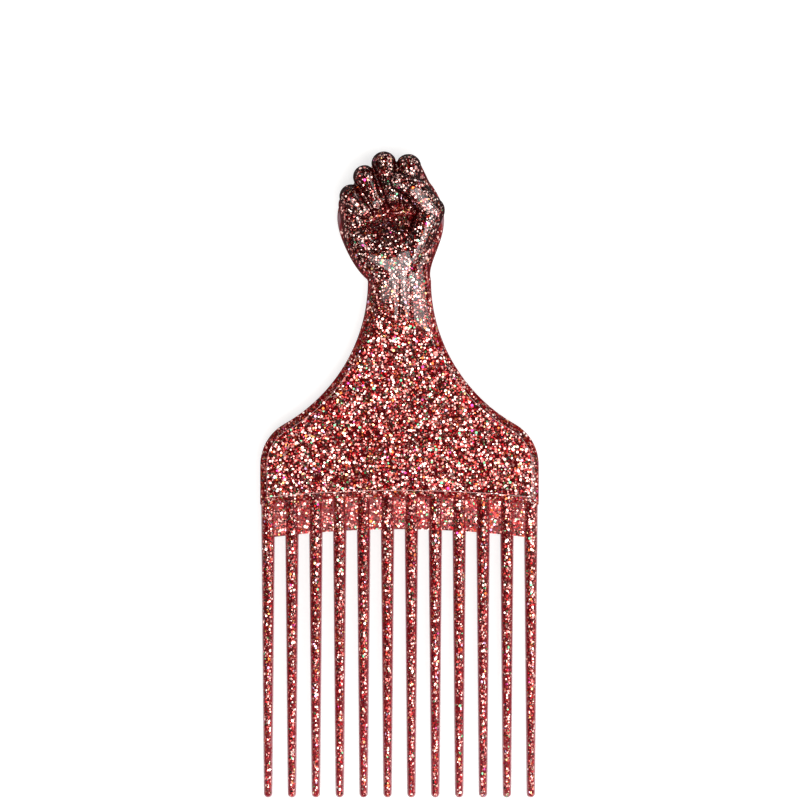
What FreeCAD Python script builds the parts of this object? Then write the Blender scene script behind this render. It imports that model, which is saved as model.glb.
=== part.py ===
import FreeCAD, Part
import math
import os
import Sketcher

# Afro pick with a raised-fist handle: one flat plastic moulding, lying on its back.
# X runs across the blade, Y from the tine tips up to the fist, Z out of the front face.
# Z = 0 is the lowest point, the back of the hand; X = Y = 0 is the middle of the outline.

# Driving sizes, in millimetres, degrees and counts
SIZES = {
    # Lengths that add up to the overall length, from the tine tips upwards
    "tine_length": 72.8,
    "web_height": 8.7,
    "blade_height": 35.6,
    "forearm_length": 23.2,
    "fist_height": 34.7,
    # Blade: a plate with a bevelled rim, waisted into the forearm
    "blade_width": 75.5,
    "blade_thickness": 4.4,
    "edge_thickness": 2.0,
    "bevel_width": 1.9,
    "shoulder_height": 8.7,
    "shoulder_radius": 12.8,
    "wrist_width": 17.2,
    "wrist_depth": 8.6,
    "blade_edge_drop": 2.1,
    # Web: the thin strip that ties the tine roots together under the blade
    "web_thickness": 2.0,
    "web_edge_drop": 2.6,
    # Tines: round, tapered, with ball ends
    "tine_count": 12,
    "tine_inset": 0.15,
    "tine_root_diameter": 3.95,
    "tine_tip_diameter": 2.35,
    # Palm: oval sections up the hand, with the wrist's back lowest
    "hand_back": 5.0,
    "palm_back": 4.6,
    "heel_height": 5.5,
    "heel_left": 12.9,
    "heel_right": 9.1,
    "heel_front": 5.7,
    "ball_height": 11.0,
    "ball_left": 15.5,
    "ball_right": 11.1,
    "ball_front": 5.2,
    "grip_height": 18.0,
    "grip_left": 16.8,
    "grip_right": 12.0,
    "grip_front": 2.3,
    "crown_drop": 5.2,
    "crown_left": 8.8,
    "crown_right": 5.4,
    "crown_front": 1.0,
    "dome_rise": 1.9,
    "dome_inset": 2.6,
    # Pads of the palm: each runs from its upper ball to its lower one at the wrist
    "heel_pad_x": -9.6,
    "heel_pad_height": 11.0,
    "heel_pad_front": 0.75,
    "heel_pad_radius": 4.5,
    "heel_pad_low_x": -3.6,
    "heel_pad_low_height": 5.6,
    "heel_pad_low_front": 0.8,
    "heel_pad_low_radius": 4.5,
    "thumb_pad_low_x": 3.2,
    "thumb_pad_low_height": 6.4,
    "thumb_pad_low_front": 1.1,
    "thumb_pad_low_radius": 4.2,
    # Side of the index finger, that carries the outline down to the thumb
    "index_side_x": 2.9,
    "index_side_height": 30.0,
    "index_side_front": 0.2,
    "index_side_radius": 3.15,
    "index_side_low_x": 7.4,
    "index_side_low_height": 20.0,
    "index_side_low_front": 0.9,
    "index_side_low_radius": 3.4,
    # Side of the little finger, that keeps the hand's other edge thick
    "little_side_x": -12.9,
    "little_side_height": 20.5,
    "little_side_front": 0.2,
    "little_side_radius": 3.6,
    "little_side_low_x": -11.4,
    "little_side_low_height": 11.0,
    "little_side_low_front": 0.7,
    "little_side_low_radius": 3.7,
    # Back of the hand: ridges from each knuckle that sink in towards the wrist
    "ridge_low_radius": 1.8,
    "ridge_low_height": 9.0,
    "ridge_sink": 0.6,
    "ridge_spread": 0.45,
    # Fingers: the drop is below the top of the fist, the lean is towards the thumb
    "index_x": 2.4,
    "index_drop": 0.7,
    "index_radius": 3.4,
    "index_lean": 2.0,
    "index_length": 7.5,
    "middle_x": -4.2,
    "middle_drop": 0.0,
    "middle_radius": 3.35,
    "middle_lean": 16.0,
    "middle_length": 8.8,
    "ring_x": -9.4,
    "ring_drop": 3.7,
    "ring_radius": 3.1,
    "ring_lean": 25.0,
    "ring_length": 7.2,
    "little_x": -13.0,
    "little_drop": 8.9,
    "little_radius": 3.2,
    "little_lean": 42.0,
    "little_length": 4.8,
    "finger_front": 2.2,
    "finger_rise": 6.0,
    "finger_taper": 0.35,
    "fingertip_length": 3.2,
    "fingertip_dive": 38.0,
    "knuckle_depth": 4.0,
    # Thumb: two bones from its root at the side of the palm across the index finger
    "thumb_x": 8.6,
    "thumb_height": 18.8,
    "thumb_front": 2.9,
    "thumb_root_radius": 3.6,
    "thumb_joint_radius": 3.1,
    "thumb_tip_radius": 2.6,
    "thumb_taper": 0.15,
    "thumb_root_length": 8.0,
    "thumb_root_lean": 219.5,
    "thumb_root_rise": 20.0,
    "thumb_tip_length": 4.2,
    "thumb_tip_lean": 247.0,
    "thumb_tip_rise": 0.0,
}

doc = FreeCAD.newDocument("AfroPick")
sheet = doc.addObject("Spreadsheet::Sheet", "Sizes")
for row, (alias, value) in enumerate(SIZES.items(), start=1):
    sheet.set(f"A{row}", alias.replace("_", " "))
    sheet.set(f"B{row}", str(value))
    sheet.setAlias(f"B{row}", alias)
doc.recompute()

# Places that several pieces share, as expressions on the sheet
OVERALL = "(" + " + ".join(
    f"Sizes.{length}" for length in
    ("tine_length", "web_height", "blade_height", "forearm_length", "fist_height")) + ")"
BLADE_Y = f"(Sizes.tine_length + Sizes.web_height - {OVERALL} / 2)"
WRIST_Y = f"({OVERALL} / 2 - Sizes.fist_height)"
PARTING_Z = "Sizes.hand_back"
HALF_WIDTH = "(Sizes.blade_width / 2)"
OUTER_TINE_X = f"({HALF_WIDTH} - Sizes.tine_inset - Sizes.tine_root_diameter / 2)"
BLADE_ARC = f"(({HALF_WIDTH}^2 + Sizes.blade_edge_drop^2) / (2 * Sizes.blade_edge_drop))"
WEB_ARC = f"(({HALF_WIDTH}^2 + Sizes.web_edge_drop^2) / (2 * Sizes.web_edge_drop))"

# How sketches number a curve's points, their two axes and their origin
START, END, CENTER = range(1, 4)
X_AXIS, Y_AXIS = range(-1, -3, -1)
ORIGIN = (X_AXIS, START)


def number(expression):
    """The value that an expression on the sheet has now."""
    return float(sheet.evalExpression(expression))


def vec(x, y, z=0.0):
    return FreeCAD.Vector(x, y, z)


def place(piece, x="0", y="0", z=PARTING_Z):
    """Tie a piece's position to the sheet."""
    for axis, expression in zip("xyz", (x, y, z)):
        piece.setExpression(f"Placement.Base.{axis}", expression)


def plane(body, role="XY_Plane"):
    return next(feature for feature in body.Origin.OriginFeatures if feature.Role == role)


def new_sketch(body, name, height="0"):
    """A sketch on the body's XY plane, lifted by the given height."""
    sketch = body.newObject("Sketcher::SketchObject", name)
    sketch.AttachmentSupport = (plane(body), [""])
    sketch.MapMode = "FlatFace"
    sketch.setExpression("AttachmentOffset.Base.z", height)
    return sketch


def tie(sketch, kind, *where):
    sketch.addConstraint(Sketcher.Constraint(kind, *where))


def drive(sketch, kind, where, expression):
    """A dimension whose value comes from the sheet."""
    index = sketch.addConstraint(Sketcher.Constraint(kind, *where, number(expression)))
    sketch.setExpression(f"Constraints[{index}]", expression)


def line(sketch, start, end):
    return sketch.addGeometry(Part.LineSegment(start, end))


def arc(sketch, center, radius, start, end):
    circle = Part.Circle(center, vec(0, 0, 1), radius)
    return sketch.addGeometry(Part.ArcOfCircle(circle, start, end))


def boolean(kind, name, base, tool):
    result = doc.addObject(kind, name)
    result.Base = base
    result.Tool = tool
    result.Refine = True
    return result


def cut_by(name, blank, neighbours):
    """Trim a blank so that it meets each neighbour face to face."""
    piece = blank
    for neighbour in neighbours:
        piece = boolean("Part::Cut", f"{name}_on_{neighbour.Name}", piece, neighbour)
    return piece


def neck_arc_radius():
    """Radius of the waist arc that is upright at the wrist and tangent to the shoulder arc."""
    run = number(f"{HALF_WIDTH} - Sizes.shoulder_radius - Sizes.wrist_width / 2")
    rise = number("Sizes.blade_height + Sizes.forearm_length - Sizes.shoulder_height")
    shoulder = number("Sizes.shoulder_radius")
    return (run ** 2 + rise ** 2 - shoulder ** 2) / (2 * (run + shoulder))


def blade_outline(sketch, inset):
    """The blade seen from the front, drawn in from its edge by the inset except along its top."""
    gap = number(inset)
    half = number(HALF_WIDTH) - gap
    shoulder = number("Sizes.shoulder_radius") - gap
    shoulder_y = number("Sizes.shoulder_height")
    top_y = number("Sizes.blade_height")
    neck = neck_arc_radius() + gap
    neck_x = number("Sizes.wrist_width / 2") + neck_arc_radius()
    neck_y = number("Sizes.blade_height + Sizes.forearm_length")
    shoulder_x = half - shoulder
    meet = math.atan2(neck_y - shoulder_y, neck_x - shoulder_x)
    leave = math.asin((neck_y - top_y) / neck)
    top_x = neck_x - neck * math.cos(leave)
    low = number(BLADE_ARC)
    corner = math.acos(half / (low + gap))
    corner_y = (low + gap) * math.sin(corner) - low

    bottom = arc(sketch, vec(0, -low), low + gap, corner, math.pi - corner)
    right_side = line(sketch, vec(half, corner_y), vec(half, shoulder_y))
    right_shoulder = arc(sketch, vec(shoulder_x, shoulder_y), shoulder, 0, meet)
    right_neck = arc(sketch, vec(neck_x, neck_y), neck, math.pi + leave, math.pi + meet)
    top = line(sketch, vec(top_x, top_y), vec(-top_x, top_y))
    left_neck = arc(sketch, vec(-neck_x, neck_y), neck, -meet, -leave)
    left_shoulder = arc(sketch, vec(-shoulder_x, shoulder_y), shoulder, math.pi - meet, math.pi)
    left_side = line(sketch, vec(-half, shoulder_y), vec(-half, corner_y))
    waist = sketch.addGeometry(Part.Point(vec(neck_x - neck, neck_y)), True)

    tie(sketch, "Coincident", bottom, START, right_side, START)
    tie(sketch, "Tangent", right_side, END, right_shoulder, START)
    tie(sketch, "Tangent", right_shoulder, END, right_neck, END)
    tie(sketch, "Coincident", right_neck, START, top, START)
    tie(sketch, "Coincident", top, END, left_neck, END)
    tie(sketch, "Tangent", left_neck, START, left_shoulder, START)
    tie(sketch, "Tangent", left_shoulder, END, left_side, START)
    tie(sketch, "Coincident", left_side, END, bottom, END)
    tie(sketch, "Vertical", right_side)
    tie(sketch, "Vertical", left_side)
    tie(sketch, "Horizontal", top)
    tie(sketch, "Symmetric", right_shoulder, CENTER, left_shoulder, CENTER, Y_AXIS)
    tie(sketch, "Symmetric", right_neck, CENTER, left_neck, CENTER, Y_AXIS)
    tie(sketch, "Equal", right_shoulder, left_shoulder)
    tie(sketch, "PointOnObject", bottom, CENTER, Y_AXIS)
    tie(sketch, "Horizontal", waist, START, right_neck, CENTER)
    tie(sketch, "PointOnObject", waist, START, right_neck)
    drive(sketch, "DistanceY", (bottom, CENTER, *ORIGIN), BLADE_ARC)
    drive(sketch, "Radius", (bottom,), f"{BLADE_ARC} + {inset}")
    drive(sketch, "DistanceX", (*ORIGIN, right_side, START), f"{HALF_WIDTH} - {inset}")
    drive(sketch, "DistanceY", (*ORIGIN, right_shoulder, CENTER), "Sizes.shoulder_height")
    drive(sketch, "Radius", (right_shoulder,), f"Sizes.shoulder_radius - {inset}")
    drive(sketch, "DistanceY", (*ORIGIN, right_neck, CENTER),
          "Sizes.blade_height + Sizes.forearm_length")
    drive(sketch, "DistanceX", (*ORIGIN, waist, START), f"Sizes.wrist_width / 2 - {inset}")
    drive(sketch, "DistanceY", (*ORIGIN, top, START), "Sizes.blade_height")


def make_blade():
    """A plate with a thin rim, bevelled up to its full thickness on both faces."""
    body = doc.addObject("PartDesign::Body", "blade")
    rim = new_sketch(body, "blade_rim", "Sizes.edge_thickness / 2")
    blade_outline(rim, "0")
    face = new_sketch(body, "blade_face", "Sizes.blade_thickness / 2")
    blade_outline(face, "Sizes.bevel_width")
    land = body.newObject("PartDesign::Pad", "blade_land")
    land.Profile = rim
    land.Reversed = True
    land.setExpression("Length", "Sizes.edge_thickness")
    bevel = body.newObject("PartDesign::AdditiveLoft", "blade_bevel")
    bevel.Profile = rim
    bevel.Sections = [face]
    bevel.Ruled = True
    back = body.newObject("PartDesign::Mirrored", "blade_back")
    back.Originals = [bevel]
    back.MirrorPlane = (plane(body), [""])
    body.Tip = back
    place(body, y=BLADE_Y)
    return body


def revolve(body, sketch):
    """Turn a profile round its sketch's upright axis."""
    turned = body.newObject("PartDesign::Revolution", f"{body.Name}_turned")
    turned.Profile = sketch
    turned.ReferenceAxis = (sketch, ["V_Axis"])
    turned.Angle = 360


def make_tine(index, blade):
    """A round tapered rod with a ball end, its root let into the blade's bevelled edge."""
    name = f"tine_{index + 1:02d}"
    body = doc.addObject("PartDesign::Body", f"{name}_rod")
    sketch = new_sketch(body, f"{name}_profile")
    root_y = "Sizes.bevel_width"
    reach = "(Sizes.web_height + Sizes.tine_length)"
    root = number("Sizes.tine_root_diameter / 2")
    tip = number("Sizes.tine_tip_diameter / 2")
    top = number(root_y)
    end = -number(reach)
    slope = math.asin((root - tip) / (top - end - tip))
    axis = line(sketch, vec(0, top), vec(0, end))
    ball = arc(sketch, vec(0, end + tip), tip, -math.pi / 2, -slope)
    edge = vec(tip * math.cos(slope), end + tip - tip * math.sin(slope))
    flank = line(sketch, edge, vec(root, top))
    shoulder = line(sketch, vec(root, top), vec(0, top))
    tie(sketch, "Coincident", axis, START, shoulder, END)
    tie(sketch, "PointOnObject", axis, START, Y_AXIS)
    tie(sketch, "PointOnObject", axis, END, Y_AXIS)
    tie(sketch, "Coincident", axis, END, ball, START)
    tie(sketch, "PointOnObject", ball, CENTER, Y_AXIS)
    tie(sketch, "Tangent", ball, END, flank, START)
    tie(sketch, "Coincident", flank, END, shoulder, START)
    tie(sketch, "Horizontal", shoulder)
    drive(sketch, "DistanceY", (*ORIGIN, axis, START), root_y)
    drive(sketch, "DistanceY", (axis, END, *ORIGIN), reach)
    drive(sketch, "Radius", (ball,), "Sizes.tine_tip_diameter / 2")
    drive(sketch, "DistanceX", (*ORIGIN, flank, END), "Sizes.tine_root_diameter / 2")
    revolve(body, sketch)
    place(body, x=f"{OUTER_TINE_X} * (2 * {index} / (Sizes.tine_count - 1) - 1)", y=BLADE_Y)
    return cut_by(name, body, [blade])


def make_web(tines):
    """The thin strip under the blade, in one panel between each two tines."""
    body = doc.addObject("PartDesign::Body", "web_strip")
    sketch = new_sketch(body, "web_outline")
    half = number(OUTER_TINE_X)
    upper = number(BLADE_ARC)
    lower = number(WEB_ARC)
    drop = number("Sizes.web_height")
    upper_end = math.acos(half / upper)
    lower_end = math.acos(half / lower)
    upper_y = upper * math.sin(upper_end) - upper
    lower_y = lower * math.sin(lower_end) - lower - drop
    top = arc(sketch, vec(0, -upper), upper, upper_end, math.pi - upper_end)
    bottom = arc(sketch, vec(0, -lower - drop), lower, lower_end, math.pi - lower_end)
    right = line(sketch, vec(half, lower_y), vec(half, upper_y))
    left = line(sketch, vec(-half, lower_y), vec(-half, upper_y))
    tie(sketch, "Coincident", right, START, bottom, START)
    tie(sketch, "Coincident", right, END, top, START)
    tie(sketch, "Coincident", left, START, bottom, END)
    tie(sketch, "Coincident", left, END, top, END)
    tie(sketch, "Vertical", right)
    tie(sketch, "Vertical", left)
    tie(sketch, "PointOnObject", top, CENTER, Y_AXIS)
    tie(sketch, "PointOnObject", bottom, CENTER, Y_AXIS)
    drive(sketch, "Radius", (top,), BLADE_ARC)
    drive(sketch, "DistanceY", (top, CENTER, *ORIGIN), BLADE_ARC)
    drive(sketch, "Radius", (bottom,), WEB_ARC)
    drive(sketch, "DistanceY", (bottom, CENTER, *ORIGIN), f"{WEB_ARC} + Sizes.web_height")
    drive(sketch, "DistanceX", (*ORIGIN, right, START), OUTER_TINE_X)
    drive(sketch, "DistanceX", (left, START, *ORIGIN), OUTER_TINE_X)
    strip = body.newObject("PartDesign::Pad", "web_pad")
    strip.Profile = sketch
    strip.SideType = "Symmetric"
    strip.setExpression("Length", "Sizes.web_thickness")
    place(body, y=BLADE_Y)
    return cut_by("web", body, tines)


# Where the arm's section has its corners at the wrist, as angles on the wrist's oval
OVAL_FRONT_CORNER = math.radians(50)
OVAL_SIDE_CORNER = math.radians(17)
FOREARM_STATIONS = 5


def mix(a, b, share):
    return a + (b - a) * share


def forearm_section(share):
    """Closed outline across the arm: the blade's bevelled section at 0, the wrist's oval at 1."""
    climb = number("Sizes.forearm_length") * share
    neck = neck_arc_radius()
    below_wrist = number("Sizes.forearm_length") - climb
    half = number("Sizes.wrist_width / 2") + neck - math.sqrt(neck ** 2 - below_wrist ** 2)
    depth = mix(number("Sizes.blade_thickness / 2"), number("Sizes.wrist_depth / 2"), share * share)
    rim = number("Sizes.edge_thickness / 2")
    bevel = number("Sizes.bevel_width")

    def oval(angle):
        return vec(half * math.cos(angle), 0, depth * math.sin(angle))

    plate_front = vec(half - bevel, 0, depth)
    plate_side = vec(half, 0, rim)
    corner_front = mix(plate_front, oval(OVAL_FRONT_CORNER), share)
    corner_side = mix(plate_side, oval(OVAL_SIDE_CORNER), share)
    plate_middle = (plate_front + plate_side) / 2
    oval_middle = oval((OVAL_FRONT_CORNER + OVAL_SIDE_CORNER) / 2)
    corner_middle = mix(plate_middle, oval_middle, share)

    def flip(point, x, z):
        return vec(point.x * x, 0, point.z * z)

    across = vec(half, 0, 0)
    through = vec(0, 0, depth)
    turn = [
        (flip(corner_side, 1, -1), across, corner_side),
        (corner_side, corner_middle, corner_front),
        (corner_front, through, flip(corner_front, -1, 1)),
        (flip(corner_front, -1, 1), flip(corner_middle, -1, 1), flip(corner_side, -1, 1)),
        (flip(corner_side, -1, 1), -across, flip(corner_side, -1, -1)),
        (flip(corner_side, -1, -1), flip(corner_middle, -1, -1), flip(corner_front, -1, -1)),
        (flip(corner_front, -1, -1), -through, flip(corner_front, 1, -1)),
        (flip(corner_front, 1, -1), flip(corner_middle, 1, -1), flip(corner_side, 1, -1)),
    ]
    lift = vec(0, number(f"{WRIST_Y} - Sizes.forearm_length") + climb, number(PARTING_Z))
    edges = []
    for start, middle, end in turn:
        if share == 0:
            edge = Part.LineSegment(start + lift, end + lift)
        else:
            edge = Part.Arc(start + lift, middle + lift, end + lift)
        edges.append(edge.toShape())
    return Part.Wire(edges)


def make_forearm():
    """The arm, lofted from the blade's bevelled top up to the oval of the wrist."""
    sections = [forearm_section(i / (FOREARM_STATIONS - 1)) for i in range(FOREARM_STATIONS)]
    arm = doc.addObject("Part::Feature", "forearm")
    arm.Shape = Part.makeLoft(sections, True, False)
    return arm


def make_bone(name, start, direction, length, start_radius, end_radius):
    """A rounded, tapered bar from one ball to another, along a direction."""
    body = doc.addObject("PartDesign::Body", name)
    sketch = new_sketch(body, f"{name}_profile")
    span = number(length)
    low = number(start_radius)
    high = number(end_radius)
    slope = math.asin((low - high) / span)
    axis = line(sketch, vec(0, span + high), vec(0, -low))
    root = arc(sketch, vec(0, 0), low, -math.pi / 2, slope)
    flank_start = vec(low * math.cos(slope), low * math.sin(slope))
    flank_end = vec(high * math.cos(slope), span + high * math.sin(slope))
    flank = line(sketch, flank_start, flank_end)
    tip = arc(sketch, vec(0, span), high, slope, math.pi / 2)
    tie(sketch, "Coincident", axis, END, root, START)
    tie(sketch, "Coincident", axis, START, tip, END)
    tie(sketch, "PointOnObject", axis, START, Y_AXIS)
    tie(sketch, "PointOnObject", axis, END, Y_AXIS)
    tie(sketch, "Coincident", root, CENTER, *ORIGIN)
    tie(sketch, "PointOnObject", tip, CENTER, Y_AXIS)
    tie(sketch, "Tangent", root, END, flank, START)
    tie(sketch, "Tangent", flank, END, tip, START)
    drive(sketch, "Radius", (root,), start_radius)
    drive(sketch, "Radius", (tip,), end_radius)
    drive(sketch, "DistanceY", (*ORIGIN, tip, CENTER), length)
    revolve(body, sketch)
    turn = FreeCAD.Rotation(vec(0, 1, 0), direction)
    body.Placement = FreeCAD.Placement(start, turn)
    return body


def make_bone_between(name, start, end, start_radius, end_radius):
    run = end - start
    return make_bone(name, start, run, f"{run.Length}", start_radius, end_radius)


def join(name, pieces):
    fused = doc.addObject("Part::MultiFuse", name)
    fused.Shapes = pieces
    fused.Refine = True
    return fused


def aim(lean, rise):
    """Direction in the hand: no lean points at the wrist, 90 at the thumb's side; rise is frontward."""
    lean = math.radians(lean)
    rise = math.radians(rise)
    return vec(math.sin(lean) * math.cos(rise), -math.cos(lean) * math.cos(rise), math.sin(rise))


def hand_point(x, height, front):
    """A point of the hand from expressions: its height is above the wrist, front is off the parting."""
    return vec(number(x), number(f"{WRIST_Y} + {height}"), number(f"{PARTING_Z} + {front}"))


FINGERS = ("index", "middle", "ring", "little")
POINT_SIDES = ("x", "height", "front")


def knuckle_height(name):
    return f"(Sizes.fist_height - Sizes.{name}_drop - Sizes.{name}_radius)"


def oval_wire(left, right, height, back, front):
    """An oval across the hand, in four quarters so that each gives the loft a face of its own."""
    center = vec((right - left) / 2, number(WRIST_Y) + height, number(PARTING_Z) + (front - back) / 2)
    across = vec((left + right) / 2, 0, 0)
    through = vec(0, 0, (front + back) / 2)
    oval = Part.Ellipse(center + across, center + through, center)
    quarter = math.pi / 2
    arcs = [Part.ArcOfEllipse(oval, i * quarter, (i + 1) * quarter) for i in range(4)]
    return Part.Wire([piece.toShape() for piece in arcs])


def make_palm():
    """The hand's body, lofted through ovals, with its two pads and the ridges of its back."""
    half_wrist = number("Sizes.wrist_width / 2")
    half_depth = number("Sizes.wrist_depth / 2")
    ovals = [oval_wire(half_wrist, half_wrist, 0, half_depth, half_depth)]
    back = number("Sizes.palm_back")
    levels = {level: f"Sizes.{level}_height" for level in ("heel", "ball", "grip")}
    levels["crown"] = "Sizes.fist_height - Sizes.crown_drop"
    for level, height in levels.items():
        left, right, front = (number(f"Sizes.{level}_{side}") for side in ("left", "right", "front"))
        ovals.append(oval_wire(left, right, number(height), back, front))
    inset = number("Sizes.dome_inset")
    dome_height = number(f"{levels['crown']} + Sizes.dome_rise")
    ovals.append(oval_wire(left - inset, right - inset, dome_height, back - inset / 2, front - inset / 2))
    core = doc.addObject("Part::Feature", "palm_core")
    core.Shape = Part.makeLoft(ovals, True, False)
    pieces = [core]

    # The thumb's pad swells from the ball that the thumb grows out of
    for name, top, top_radius in (("thumb_pad", "thumb", "thumb_root_radius"),
                                  ("heel_pad", "heel_pad", "heel_pad_radius"),
                                  ("index_side", "index_side", "index_side_radius"),
                                  ("little_side", "little_side", "little_side_radius")):
        upper = hand_point(*(f"Sizes.{top}_{side}" for side in POINT_SIDES))
        lower = hand_point(*(f"Sizes.{name}_low_{side}" for side in POINT_SIDES))
        pieces.append(make_bone_between(name, upper, lower, f"Sizes.{top_radius}",
                                        f"Sizes.{name}_low_radius"))

    for name in FINGERS:
        upper = hand_point(f"Sizes.{name}_x", knuckle_height(name),
                           f"Sizes.{name}_radius - Sizes.hand_back")
        lower = hand_point(f"Sizes.{name}_x * Sizes.ridge_spread", "Sizes.ridge_low_height",
                           "Sizes.ridge_low_radius - Sizes.hand_back + Sizes.ridge_sink")
        pieces.append(make_bone_between(f"{name}_ridge", upper, lower, f"Sizes.{name}_radius",
                                        "Sizes.ridge_low_radius"))
    return join("palm", pieces)


def make_finger(name):
    """A knuckle that runs through the fist, a bone folded down its front and a tip tucked in."""
    at = hand_point(f"Sizes.{name}_x", knuckle_height(name), "Sizes.finger_front")
    lean = number(f"Sizes.{name}_lean")
    folded = aim(lean, number("Sizes.finger_rise"))
    tucked = aim(lean, -number("Sizes.fingertip_dive"))
    full = f"Sizes.{name}_radius"
    slim = f"({full} - Sizes.finger_taper)"
    fine = f"({full} - 2 * Sizes.finger_taper)"
    front = make_bone(f"{name}_front", at, folded, f"Sizes.{name}_length", full, slim)
    knuckle = make_bone(f"{name}_knuckle", at, vec(0, 0, -1), "Sizes.knuckle_depth", slim, slim)
    bend = at + folded * number(f"Sizes.{name}_length")
    tip = make_bone(f"{name}_tip", bend, tucked, "Sizes.fingertip_length", fine, fine)
    return join(f"{name}_blank", [front, knuckle, tip])


def make_thumb():
    """The thumb, bent once, from its root on the palm's pad across the folded fingers."""
    at = hand_point("Sizes.thumb_x", "Sizes.thumb_height", "Sizes.thumb_front")
    toward = aim(number("Sizes.thumb_root_lean"), number("Sizes.thumb_root_rise"))
    root = make_bone("thumb_root", at, toward, "Sizes.thumb_root_length",
                     "Sizes.thumb_root_radius", "Sizes.thumb_joint_radius")
    bend = at + toward * number("Sizes.thumb_root_length")
    onward = aim(number("Sizes.thumb_tip_lean"), number("Sizes.thumb_tip_rise"))
    tip = make_bone("thumb_end", bend, onward, "Sizes.thumb_tip_length",
                    "(Sizes.thumb_joint_radius - Sizes.thumb_taper)", "Sizes.thumb_tip_radius")
    return join("thumb_blank", [root, tip])


blade = make_blade()
tines = [make_tine(index, blade) for index in range(int(number("Sizes.tine_count")))]
web = make_web(tines)
forearm = make_forearm()
palm = make_palm()
hand = [palm]
for name in FINGERS:
    hand.append(cut_by(name, make_finger(name), hand))
thumb = cut_by("thumb", make_thumb(), hand)

nodes = {"blade": blade, "web": web, "forearm": forearm, "palm": palm, "thumb": thumb}
nodes.update({f"finger_{name}": finger for name, finger in zip(FINGERS, hand[1:])})
nodes.update({f"tine_{index + 1:02d}": tine for index, tine in enumerate(tines)})
for name, piece in nodes.items():
    piece.Label = name
doc.recompute()

# Nothing is written unless the whole document is sound
failed = [item.Name for item in doc.Objects if "Invalid" in item.State or "Error" in item.State]
if failed:
    raise RuntimeError(f"failed: {failed}")
for name, piece in nodes.items():
    if piece.Shape.isNull() or not piece.Shape.isValid():
        raise RuntimeError(f"bad shape: {name}")

os.makedirs("parts", exist_ok=True)
for name, piece in nodes.items():
    piece.Shape.exportStep(f"parts/{name}.step")
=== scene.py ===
import math

import bmesh
import bpy
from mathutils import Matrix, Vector


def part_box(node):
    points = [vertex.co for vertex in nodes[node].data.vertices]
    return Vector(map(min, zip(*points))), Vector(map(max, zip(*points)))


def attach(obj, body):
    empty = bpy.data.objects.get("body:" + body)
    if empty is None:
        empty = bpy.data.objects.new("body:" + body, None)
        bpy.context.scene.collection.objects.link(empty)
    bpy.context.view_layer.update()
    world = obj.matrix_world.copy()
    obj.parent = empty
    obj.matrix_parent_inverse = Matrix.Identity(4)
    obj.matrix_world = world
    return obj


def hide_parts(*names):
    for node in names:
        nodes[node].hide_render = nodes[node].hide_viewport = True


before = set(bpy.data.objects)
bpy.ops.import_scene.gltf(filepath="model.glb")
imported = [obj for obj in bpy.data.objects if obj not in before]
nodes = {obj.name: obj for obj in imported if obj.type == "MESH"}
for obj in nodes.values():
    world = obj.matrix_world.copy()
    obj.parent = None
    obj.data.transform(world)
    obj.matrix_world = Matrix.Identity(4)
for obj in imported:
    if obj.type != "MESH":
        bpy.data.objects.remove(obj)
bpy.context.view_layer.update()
MM = 0.001

# Places of the moulding, in millimetres, the same as in the CAD model
PARTING_Z = 5.0
ARM_START_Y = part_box("forearm")[0].y / MM
HAND_NODES = ("forearm", "palm", "finger_index", "finger_middle", "finger_ring", "finger_little", "thumb")
TINE_NODES = [name for name in nodes if name.startswith("tine_")]
# Face attribute that marks the painted highlight line round the blade's flat faces
EDGE_HIGHLIGHT_LINE = "painted_edge_highlight"


def linear(code):
    """An sRGB hex code as a linear colour with full alpha."""
    values = [int(code[i:i + 2], 16) / 255 for i in (1, 3, 5)]
    return [v / 12.92 if v <= 0.04045 else ((v + 0.055) / 1.055) ** 2.4 for v in values] + [1.0]


def add(tree, kind, inputs, **settings):
    """Add a node, set its options, and set or link its inputs."""
    made = tree.nodes.new(kind)
    for name, value in settings.items():
        setattr(made, name, value)
    for socket, value in inputs.items():
        if isinstance(value, bpy.types.NodeSocket):
            tree.links.new(value, made.inputs[socket])
        else:
            made.inputs[socket].default_value = value
    return made


def set_stops(ramp, stops, interpolation):
    """Give a colour ramp its stops as pairs of a place and an sRGB code."""
    ramp.color_ramp.interpolation = interpolation
    elements = ramp.color_ramp.elements
    while len(elements) < len(stops):
        elements.new(1.0)
    for element, (place, code) in zip(elements, stops):
        element.position = place
        element.color = linear(code)


# Large enough that two chances of a cell, mixed by it, give a third that is apart from both
CHANCE_STEP = 13.7
# Smallest and largest flake, as shares of its layer's size
FLAKE_SIZES = (0.5, 1.0)
# From one side of a six-sided flake to the next
SIDE_TURN = math.radians(60)


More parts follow.
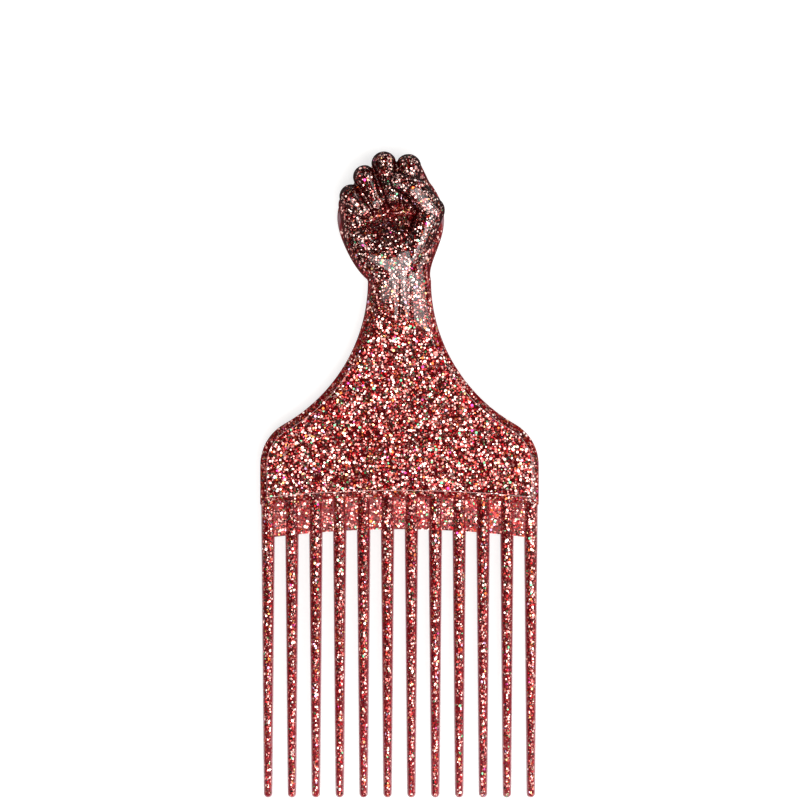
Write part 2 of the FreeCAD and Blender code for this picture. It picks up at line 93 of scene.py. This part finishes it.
def flake_group():
    """Six-sided glitter flakes, one in each Voronoi cell, lying near the surface at random tilts."""
    group = bpy.data.node_groups.new("glitter_flakes", "ShaderNodeTree")
    for name, kind in (("Position", "NodeSocketVector"), ("Normal", "NodeSocketVector"),
                       ("Scale", "NodeSocketFloat"), ("Size", "NodeSocketFloat"),
                       ("Fill", "NodeSocketFloat"), ("Tilt", "NodeSocketFloat")):
        group.interface.new_socket(name, in_out="INPUT", socket_type=kind)
    for name, kind in (("Mask", "NodeSocketFloat"), ("Random", "NodeSocketFloat"),
                       ("Normal", "NodeSocketVector")):
        group.interface.new_socket(name, in_out="OUTPUT", socket_type=kind)
    given = group.nodes.new("NodeGroupInput").outputs
    normal = given["Normal"]

    cell = add(group, "ShaderNodeTexVoronoi", {"Vector": given["Position"], "Scale": given["Scale"]})
    chance = add(group, "ShaderNodeSeparateColor", {0: cell.outputs["Color"]}).outputs
    spin = add(group, "ShaderNodeVectorMath", {0: cell.outputs["Color"], 1: (0.5, 0.5, 0.5)},
               operation="SUBTRACT").outputs[0]

    # Whether a cell holds a flake, its size and its colour: chances apart from those that turn it
    fresh = []
    for one, other in ((chance[0], chance[1]), (chance[1], chance[2]), (chance[2], chance[0])):
        mixed = add(group, "ShaderNodeMath", {0: one, 1: CHANCE_STEP, 2: other},
                    operation="MULTIPLY_ADD").outputs[0]
        fresh.append(add(group, "ShaderNodeMath", {0: mixed}, operation="FRACT").outputs[0])
    held, large, hue = fresh

    # The way from the flake's centre, in cells, along two directions of the surface
    off = add(group, "ShaderNodeVectorMath", {0: given["Position"], 1: cell.outputs["Position"]},
              operation="SUBTRACT").outputs[0]
    off = add(group, "ShaderNodeVectorMath", {0: off, "Scale": given["Scale"]}, operation="SCALE").outputs[0]
    along = add(group, "ShaderNodeVectorMath", {0: normal, 1: spin}, operation="CROSS_PRODUCT").outputs[0]
    along = add(group, "ShaderNodeVectorMath", {0: along}, operation="NORMALIZE").outputs[0]
    across = add(group, "ShaderNodeVectorMath", {0: normal, 1: along}, operation="CROSS_PRODUCT").outputs[0]
    ways = []
    for direction in (along, across):
        way = add(group, "ShaderNodeVectorMath", {0: off, 1: direction},
                  operation="DOT_PRODUCT").outputs["Value"]
        ways.append(add(group, "ShaderNodeMath", {0: way}, operation="ABSOLUTE").outputs[0])
    u, v = ways

    # Distance to the nearest of the six sides decides what lies inside
    slant = add(group, "ShaderNodeMath", {0: u, 1: math.cos(SIDE_TURN)}, operation="MULTIPLY").outputs[0]
    slant = add(group, "ShaderNodeMath", {0: v, 1: math.sin(SIDE_TURN), 2: slant},
                operation="MULTIPLY_ADD").outputs[0]
    reach = add(group, "ShaderNodeMath", {0: u, 1: slant}, operation="MAXIMUM").outputs[0]
    size = add(group, "ShaderNodeMapRange", {0: large, 3: FLAKE_SIZES[0], 4: FLAKE_SIZES[1]}).outputs[0]
    size = add(group, "ShaderNodeMath", {0: size, 1: given["Size"]}, operation="MULTIPLY").outputs[0]
    inside = add(group, "ShaderNodeMath", {0: reach, 1: size}, operation="LESS_THAN").outputs[0]
    kept = add(group, "ShaderNodeMath", {0: held, 1: given["Fill"]}, operation="LESS_THAN").outputs[0]
    mask = add(group, "ShaderNodeMath", {0: inside, 1: kept}, operation="MULTIPLY").outputs[0]

    lean = add(group, "ShaderNodeVectorMath", {0: spin, "Scale": given["Tilt"]}, operation="SCALE").outputs[0]
    tilted = add(group, "ShaderNodeVectorMath", {0: normal, 1: lean}, operation="ADD").outputs[0]
    tilted = add(group, "ShaderNodeVectorMath", {0: tilted}, operation="NORMALIZE").outputs[0]
    add(group, "NodeGroupOutput", {"Mask": mask, "Random": hue, "Normal": tilted})
    return group


# Silver glitter under a breath of red: pale pink, and now and then a colour of the spectrum
SILVER_STOPS = (
    (0.00, "#eaa29a"), (0.24, "#cc6e68"), (0.42, "#f4c4ba"), (0.76, "#fde6de"), (0.865, "#f0c68a"),
    (0.905, "#5fae7e"), (0.94, "#c23a80"), (0.955, "#df6a34"), (0.975, "#c39ac0"),
)
# Finer glitter a little under the surface is redder
FINE_STOPS = (
    (0.00, "#e8645f"), (0.36, "#c83c3c"), (0.54, "#f6a298"), (0.74, "#f6cabf"), (0.88, "#e0a860"),
    (0.93, "#5fae7e"), (0.965, "#c24a86"),
)
# Glitter that lies deeper is seen through the red plastic
SUNKEN_STOPS = (
    (0.00, "#b0161c"), (0.22, "#c24c48"), (0.40, "#660a0e"), (0.58, "#cc8a82"), (0.75, "#b23a3c"),
    (0.89, "#b8542c"), (0.965, "#2f6039"),
)
# Layers of glitter from the deepest up. A layer's pattern has its own shift in metres and a pitch from flake
# to flake, and a flake reaches to its size as a share of that pitch. Pairs are for thin plastic and for thick:
# how far flakes lean, and how metallic they look. In thick plastic a share of a flake's colour, turned, goes
# over to the thick colour, and to the plastic's own colour where none is given.
LAYERS = (
    {"shift": (0.013, 0.027, 0.041), "pitch": 0.64 * MM, "size": 0.50, "lean": (0.5, 0.5),
     "shine": (0.4, 0.4), "stops": SUNKEN_STOPS, "turned": 0.4, "thick_colour": None},
    {"shift": (0.031, 0.007, 0.019), "pitch": 0.52 * MM, "size": 0.44, "lean": (0.95, 1.1),
     "shine": (0.7, 1.0), "stops": FINE_STOPS, "turned": 1.0, "thick_colour": "#eebeb4"},
    {"shift": (0.0, 0.0, 0.0), "pitch": 0.75 * MM, "size": 0.47, "lean": (0.52, 0.68),
     "shine": (1.0, 1.0), "stops": SILVER_STOPS, "turned": 0.0, "thick_colour": None},
)
# Share of the cells that hold a flake in each layer
BODY_FILL = (0.72, 0.38, 0.50)
TINE_FILL = (0.70, 0.28, 0.46)
WEB_FILL = (0.74, 0.54, 0.36)

# The plastic's colour by how thick it is, over this range: nearly black where thick, from its own deep red
# absorbing, and mauve where thin, which is painted light of the white ground shining through
TINT_RANGE = 12 * MM
TINT_STOPS = (
    (0.00, "#a8868c"), (0.075, "#a06a70"), (0.13, "#8c2a32"), (0.20, "#720d12"), (0.283, "#5a070a"),
    (0.367, "#480506"), (0.60, "#2c0304"), (1.00, "#220303"),
)
# Round tines bend the white ground's light round to their edges
TINE_STOPS = (
    (0.00, "#e2c4c8"), (0.12, "#c48a90"), (0.17, "#86202a"), (0.25, "#5e0c10"), (0.33, "#400608"),
)
# The flat web is thin enough for the white ground to shine through
WEB_STOPS = ((0.00, "#a8868c"), (0.167, "#8c4648"))
# Between these shares of the tint's range thin plastic turns thick
DEEP_FADE = (0.42, 0.62)
# Thinner than the first of these the plastic is clear of flakes, thicker than the second it is full of them
FLAKE_FADE = (0.8 * MM, 2.4 * MM)
WEB_FADE = (0.1 * MM, 0.8 * MM)
# Flakes lie flat with the flow, so steep walls, by the upright part of their normal, show few of them
WALL_FADE = (0.40, 0.88)
# The line round the blade's flat faces is painted pale as a highlight, for the light its sharp mould edge
# gathers, and stays clear of flakes
EDGE_HIGHLIGHT_COLOUR = "#d8a6a4"

# Weight of the gloss on steep walls and on flat faces, and the upright part of the normal at each
BODY_GLOSS = (0.1, 1.0)
TINE_GLOSS = (0.8, 0.12)
WEB_GLOSS = (0.12, 0.4)
GLOSS_FADE = (0.6, 0.93)
# Flakes are nearly mirrors, under the smooth skin that a polished mould leaves
FLAKE_ROUGHNESS = 0.13
SKIN_ROUGHNESS = 0.07
SKIN_IOR = 1.5


def glitter_polystyrene(name, tint_stops, fade, fills, coats):
    """Clear dark red polystyrene moulded full of silver glitter: bright flakes in deep red, under gloss."""
    material = bpy.data.materials.new(name)
    material.use_nodes = True
    tree = material.node_tree
    place = add(tree, "ShaderNodeTexCoord", {}).outputs["Object"]
    normal = add(tree, "ShaderNodeNewGeometry", {}).outputs["Normal"]

    # The moulding is alike on both sides of its parting plane, so height above that gives its thickness
    height = add(tree, "ShaderNodeSeparateXYZ", {0: place}).outputs["Z"]
    rise = add(tree, "ShaderNodeMath", {0: height, 1: PARTING_Z * MM}, operation="SUBTRACT").outputs[0]
    rise = add(tree, "ShaderNodeMath", {0: rise}, operation="ABSOLUTE").outputs[0]
    share = add(tree, "ShaderNodeMath", {0: rise, 1: 2 / TINT_RANGE}, operation="MULTIPLY").outputs[0]
    # Colour by thickness: the plastic's own red, with painted shine-through of the white ground where it is
    # thin
    tint = add(tree, "ShaderNodeValToRGB", {0: share})
    set_stops(tint, tint_stops, "LINEAR")
    deep = add(tree, "ShaderNodeMapRange", {0: share, 1: DEEP_FADE[0], 2: DEEP_FADE[1]}).outputs[0]

    # Flakes need room and a wall that isn't steep, and leave the painted highlight lines bare
    full = add(tree, "ShaderNodeMapRange", {0: rise, 1: fade[0] / 2, 2: fade[1] / 2}).outputs[0]
    upright = add(tree, "ShaderNodeSeparateXYZ", {0: normal}).outputs["Z"]
    upright = add(tree, "ShaderNodeMath", {0: upright}, operation="ABSOLUTE").outputs[0]
    flat = add(tree, "ShaderNodeMapRange", {0: upright, 1: WALL_FADE[0], 2: WALL_FADE[1]}).outputs[0]
    full = add(tree, "ShaderNodeMath", {0: full, 1: flat}, operation="MULTIPLY").outputs[0]
    edge = add(tree, "ShaderNodeAttribute", {}, attribute_name=EDGE_HIGHLIGHT_LINE).outputs["Fac"]
    full = add(tree, "ShaderNodeMath", {0: full, 1: edge}, operation="SUBTRACT").outputs[0]
    # The edge line's faces take a painted highlight colour in place of the plastic's
    body = add(tree, "ShaderNodeMix", {0: edge, 6: tint.outputs[0], 7: linear(EDGE_HIGHLIGHT_COLOUR)},
               data_type="RGBA").outputs[2]

    group = flake_group()
    colour, facing, metal = body, normal, 0.0
    for fill, layer in zip(fills, LAYERS):
        spot = add(tree, "ShaderNodeVectorMath", {0: place, 1: layer["shift"]}).outputs[0]
        filled = add(tree, "ShaderNodeMath", {0: full, 1: fill}, operation="MULTIPLY").outputs[0]
        lean, shine = (add(tree, "ShaderNodeMapRange", {0: deep, 3: thin, 4: thick}).outputs[0]
                       for thin, thick in (layer["lean"], layer["shine"]))
        flakes = add(tree, "ShaderNodeGroup",
                     {"Position": spot, "Normal": normal, "Scale": 1 / layer["pitch"], "Size": layer["size"],
                      "Fill": filled, "Tilt": lean}, node_tree=group).outputs
        mask = flakes["Mask"]
        shade = add(tree, "ShaderNodeValToRGB", {0: flakes["Random"]})
        set_stops(shade, layer["stops"], "CONSTANT")
        turn = add(tree, "ShaderNodeMath", {0: deep, 1: layer["turned"]}, operation="MULTIPLY").outputs[0]
        thick_colour = linear(layer["thick_colour"]) if layer["thick_colour"] else body
        shown = add(tree, "ShaderNodeMix", {0: turn, 6: shade.outputs[0], 7: thick_colour},
                    data_type="RGBA").outputs[2]
        colour = add(tree, "ShaderNodeMix", {0: mask, 6: colour, 7: shown}, data_type="RGBA").outputs[2]
        facing = add(tree, "ShaderNodeMix", {0: mask, 4: facing, 5: flakes["Normal"]},
                     data_type="VECTOR").outputs[1]
        metal = add(tree, "ShaderNodeMix", {0: mask, 2: metal, 3: shine}).outputs[0]

    gloss = add(tree, "ShaderNodeMapRange",
                {0: upright, 1: GLOSS_FADE[0], 2: GLOSS_FADE[1], 3: coats[0], 4: coats[1]}).outputs[0]
    surface = tree.nodes["Principled BSDF"].inputs
    for socket, value in (("Base Color", colour), ("Normal", facing), ("Metallic", metal),
                          ("Coat Weight", gloss)):
        tree.links.new(value, surface[socket])
    # The skin has all the gloss, so the plastic between the flakes has none of its own
    for socket, value in (("Roughness", FLAKE_ROUGHNESS), ("Specular IOR Level", 0.0),
                          ("Coat Roughness", SKIN_ROUGHNESS), ("Coat IOR", SKIN_IOR)):
        surface[socket].default_value = value
    return material


plastic = glitter_polystyrene(
    "glitter_polystyrene_moulded", TINT_STOPS, FLAKE_FADE, BODY_FILL, BODY_GLOSS)
tine_plastic = glitter_polystyrene(
    "glitter_polystyrene_rod_moulded", TINE_STOPS, FLAKE_FADE, TINE_FILL, TINE_GLOSS)
thin_plastic = glitter_polystyrene(
    "glitter_polystyrene_thin_moulded", WEB_STOPS, WEB_FADE, WEB_FILL, WEB_GLOSS)


# Points of the CAD nodes that lie closer than this are one
MERGE_DISTANCE = 0.002 * MM


def joined_copy(name, sources):
    """A new mesh object that holds copies of the given CAD nodes, with doubled points merged."""
    mesh = bmesh.new()
    for source in sources:
        mesh.from_mesh(nodes[source].data)
    bmesh.ops.remove_doubles(mesh, verts=mesh.verts, dist=MERGE_DISTANCE)
    data = bpy.data.meshes.new(name)
    mesh.to_mesh(data)
    mesh.free()
    piece = bpy.data.objects.new(name, data)
    bpy.context.scene.collection.objects.link(piece)
    return piece


def settle(piece):
    """Replace a piece's mesh by what its modifiers make of it."""
    bpy.context.view_layer.update()
    shaped = bpy.data.meshes.new_from_object(piece.evaluated_get(bpy.context.evaluated_depsgraph_get()))
    piece.modifiers.clear()
    piece.data = shaped


def dress(piece, *replaced):
    """Give a piece its plastic, say what it rides on, and hide the CAD nodes that it replaces."""
    piece.data.materials.clear()
    piece.data.materials.append(plastic)
    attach(piece, "root")
    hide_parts(*replaced)


# Two tendon grooves inside the wrist: where they lie across it, and their reach, half width and depth
TENDON_X = (-0.4, 2.6)
TENDON_Y = (41.5, 55.5)
TENDON_HALF_WIDTH = 0.55
TENDON_DEPTH = 0.4


def press_tendons(mesh):
    """Press the grooves into the front of the wrist, fading out at both ends."""
    low, high = TENDON_Y
    for vert in mesh.verts:
        x, y, z = vert.co / MM
        if z < PARTING_Z or not low < y < high:
            continue
        fade = math.sin(math.pi * (y - low) / (high - low))
        share = sum(math.exp(-((x - middle) / TENDON_HALF_WIDTH) ** 2) for middle in TENDON_X)
        vert.co.z -= TENDON_DEPTH * fade * share * MM


# How far a point goes towards the middle of its neighbours in one round of smoothing
SMOOTHING = 0.5
# Rounds of smoothing that find the hand's folds, and how much deeper these are pressed, above the wrist
FOLD_ROUNDS = 60
FOLD_GAIN = 0.7
FOLD_DEPTH = 0.38
FOLD_RISE = 0.1
FOLD_Y = (52.0, 58.0)


def deepen_folds(mesh):
    """Press the hand's folds deeper and raise what lies between them, by its own relief."""
    mesh.normal_update()
    places = [vert.co.copy() for vert in mesh.verts]
    normals = [vert.normal.copy() for vert in mesh.verts]
    for _ in range(FOLD_ROUNDS):
        bmesh.ops.smooth_vert(mesh, verts=mesh.verts, factor=SMOOTHING,
                              use_axis_x=True, use_axis_y=True, use_axis_z=True)
    low, high = FOLD_Y
    for vert, place, normal in zip(mesh.verts, places, normals):
        share = min(max((place.y / MM - low) / (high - low), 0.0), 1.0)
        relief = (place - vert.co).dot(normal) * FOLD_GAIN * share
        vert.co = place + normal * max(min(relief, FOLD_RISE * MM), -FOLD_DEPTH * MM)


# Fineness of the hand's skin and how much of the blade's top it takes in, both in millimetres
HAND_VOXEL = 0.26
OVERLAP_Y = 4.0
# Rounds of smoothing that soften the edges where fingers, thumb and pads meet
SOFTEN_ROUNDS = 6
CUT_TOLERANCE = 1e-7


def cut_below(mesh, y):
    """Cut away what lies nearer to the tines than the given place along the pick, in millimetres."""
    bmesh.ops.bisect_plane(mesh, geom=mesh.verts[:] + mesh.edges[:] + mesh.faces[:], dist=CUT_TOLERANCE,
                           plane_co=(0, y * MM, 0), plane_no=(0, -1, 0), clear_outer=True)


def make_hand():
    """The arm and fist as one skin, with the blade's top in it so that the cut edge keeps the form."""
    hand = joined_copy("fist_and_arm", (*HAND_NODES, "blade"))
    mesh = bmesh.new()
    mesh.from_mesh(hand.data)
    cut_below(mesh, ARM_START_Y - OVERLAP_Y)
    bmesh.ops.holes_fill(mesh, edges=[edge for edge in mesh.edges if edge.is_boundary])
    mesh.to_mesh(hand.data)
    mesh.free()
    skin = hand.modifiers.new("skin", "REMESH")
    skin.mode = "VOXEL"
    skin.voxel_size = HAND_VOXEL * MM
    soften = hand.modifiers.new("soften", "SMOOTH")
    soften.factor = SMOOTHING
    soften.iterations = SOFTEN_ROUNDS
    settle(hand)
    mesh = bmesh.new()
    mesh.from_mesh(hand.data)
    cut_below(mesh, ARM_START_Y)
    for face in mesh.faces:
        face.smooth = True
    deepen_folds(mesh)
    press_tendons(mesh)
    mesh.to_mesh(hand.data)
    mesh.free()
    dress(hand, *HAND_NODES)


# Edge radii of the blade: its outer rim, and the line round its flat faces
RIM_EDGE = 0.25 * MM
LINE_EDGE = 0.16 * MM
EDGE_SEGMENTS = 3
# The outer rim turns by more than the first angle, the line round the flat face by more than the second
RIM_ANGLE = math.radians(45)
LINE_ANGLE = math.radians(25)
# Faces that turn by less than this are one, and a face whose normal is more upright than the next is flat
SAME_ANGLE = math.radians(0.5)
FLAT_NORMAL = 0.999


def make_blade():
    """The blade with the small edge radius of a mould, and a fine painted highlight line round its flat faces.
    """
    blade = joined_copy("blade_plate", ("blade",))
    mesh = bmesh.new()
    mesh.from_mesh(blade.data)
    bmesh.ops.dissolve_limit(mesh, angle_limit=SAME_ANGLE, verts=mesh.verts, edges=mesh.edges)
    mesh.to_mesh(blade.data)
    mesh.free()
    # A second material slot, for a while, tells the line's faces from the rest
    for _ in range(2):
        blade.data.materials.append(plastic)
    for name, width, angle, index in (("rim", RIM_EDGE, RIM_ANGLE, 0), ("line", LINE_EDGE, LINE_ANGLE, 1)):
        edge = blade.modifiers.new(name, "BEVEL")
        edge.width = width
        edge.segments = EDGE_SEGMENTS
        edge.limit_method = "ANGLE"
        edge.angle_limit = angle
        edge.material = index
    settle(blade)
    blade.data.set_sharp_from_angle(angle=LINE_ANGLE)
    line = blade.data.attributes.new(EDGE_HIGHLIGHT_LINE, "FLOAT", "FACE")
    for polygon in blade.data.polygons:
        polygon.use_smooth = abs(polygon.normal.z) < FLAT_NORMAL
        line.data[polygon.index].value = float(polygon.material_index)
    dress(blade, "blade")


make_hand()
make_blade()
for name in ("web", *TINE_NODES):
    for slot in nodes[name].material_slots:
        slot.material = thin_plastic if name == "web" else tine_plastic


# Outline of the floor from its middle outwards, in metres: flat, then rising far away
COVE = ((0.0, -0.0002), (6.0, -0.0002), (7.0, 0.12), (7.7, 0.5), (8.0, 1.3))
COVE_STEPS = 64
COVE_MERGE = 0.01 * MM
PAPER_COLOUR = "#b4b2b0"
# How much of the paper's white is its own, so that the rest can hold a faint shadow
PAPER_GLOW = 0.73


def make_floor():
    """A round sheet of pale paper that curves up far behind the pick, so that no view shows its edge."""
    mesh = bmesh.new()
    points = [mesh.verts.new((reach, 0, height)) for reach, height in COVE]
    runs = [mesh.edges.new(pair) for pair in zip(points, points[1:])]
    bmesh.ops.spin(mesh, geom=points + runs, cent=(0, 0, 0), axis=(0, 0, 1), angle=math.tau, steps=COVE_STEPS,
                   use_merge=True)
    bmesh.ops.remove_doubles(mesh, verts=mesh.verts, dist=COVE_MERGE)
    bmesh.ops.recalc_face_normals(mesh, faces=mesh.faces)
    data = bpy.data.meshes.new("floor")
    mesh.to_mesh(data)
    mesh.free()
    floor = bpy.data.objects.new("floor", data)
    bpy.context.scene.collection.objects.link(floor)
    # Uncoated white paper: matt and even, so that the eye sees nothing on it but the pick's soft shadow
    material = bpy.data.materials.new("white_paper_sheet")
    material.use_nodes = True
    tree = material.node_tree
    tree.nodes.clear()
    paper = add(tree, "ShaderNodeBsdfDiffuse", {"Color": linear(PAPER_COLOUR)}).outputs[0]
    path = add(tree, "ShaderNodeLightPath", {}).outputs
    mirrored = add(tree, "ShaderNodeMath", {0: path["Is Glossy Ray"], 1: path["Is Transmission Ray"]},
                   operation="MAXIMUM").outputs[0]
    seen = add(tree, "ShaderNodeMath", {0: path["Is Camera Ray"], 1: mirrored},
               operation="MAXIMUM").outputs[0]
    level = add(tree, "ShaderNodeMath", {0: seen, 1: PAPER_GLOW}, operation="MULTIPLY").outputs[0]
    glow = add(tree, "ShaderNodeEmission", {"Color": linear("#ffffff"), "Strength": level}).outputs[0]
    lit = add(tree, "ShaderNodeAddShader", {0: paper, 1: glow}).outputs[0]
    add(tree, "ShaderNodeOutputMaterial", {"Surface": lit})
    floor.data.materials.append(material)


def make_light(name, place, target, width, height, radiance):
    """An oval lamp that faces its target: a flat one gives off pi times its radiance times its area."""
    light = bpy.data.lights.new(name, "AREA")
    light.shape = "ELLIPSE"
    light.size = width
    light.size_y = height
    area = math.pi / 4 * width * height
    light.energy = math.pi * radiance * area
    lamp = bpy.data.objects.new(name, light)
    lamp.location = place
    lamp.rotation_euler = (Vector(target) - Vector(place)).to_track_quat("-Z", "Y").to_euler()
    bpy.context.scene.collection.objects.link(lamp)


MIDDLE = (0.0, 0.0, 0.0)
WRIST = (0.0, 0.05, 0.0)
# Each lamp's name, place and target in metres, then its width, height and radiance. The two spots behind the
# fist light the flakes in the hollow of the hand.
LAMPS = (
    ("softbox_key", (0.05, -0.47, 1.10), MIDDLE, 1.05, 0.52, 4.9),
    ("softbox_low", (0.10, -0.80, 0.75), MIDDLE, 1.1, 0.5, 2.4),
    ("softbox_right", (0.27, -0.03, 0.56), MIDDLE, 0.32, 0.42, 4.2),
    ("softbox_right_low", (0.95, -0.10, 0.64), MIDDLE, 0.8, 0.5, 3.0),
    ("softbox_left", (-0.45, -0.35, 1.0), MIDDLE, 0.5, 0.6, 2.2),
    ("spot_left", (-0.52, 0.52, 0.88), WRIST, 0.3, 0.3, 4.0),
    ("spot_right", (0.52, 0.52, 0.88), WRIST, 0.3, 0.3, 4.0),
)
make_floor()
for lamp in LAMPS:
    make_light(*lamp)

# The room beyond the lamps is nearly dark
ROOM_COLOUR = "#f4f4f4"
ROOM_STRENGTH = 0.03
world = bpy.data.worlds.new("studio")
world.use_nodes = True
room = world.node_tree.nodes["Background"].inputs
room["Color"].default_value = linear(ROOM_COLOUR)
room["Strength"].default_value = ROOM_STRENGTH
bpy.context.scene.world = world

# Camera: straight down on the pick, framed as the photo is, with lengths in millimetres
PICK_LENGTH = 175.0
PICK_PIXELS = 645.1
FRAME_PIXELS = 800
FRAME_WIDTH = FRAME_PIXELS * PICK_LENGTH / PICK_PIXELS
CAMERA_X = 0.14
CAMERA_Y = 20.33
CAMERA_RISE = 800.0
SENSOR_WIDTH = 36.0
camera = bpy.data.cameras.new("camera")
camera.sensor_width = SENSOR_WIDTH
camera.lens = SENSOR_WIDTH * CAMERA_RISE / FRAME_WIDTH
viewer = bpy.data.objects.new("camera", camera)
viewer.location = (CAMERA_X * MM, CAMERA_Y * MM, (PARTING_Z + CAMERA_RISE) * MM)
bpy.context.scene.collection.objects.link(viewer)
bpy.context.scene.camera = viewer
bpy.context.scene.view_settings.view_transform = "Standard"
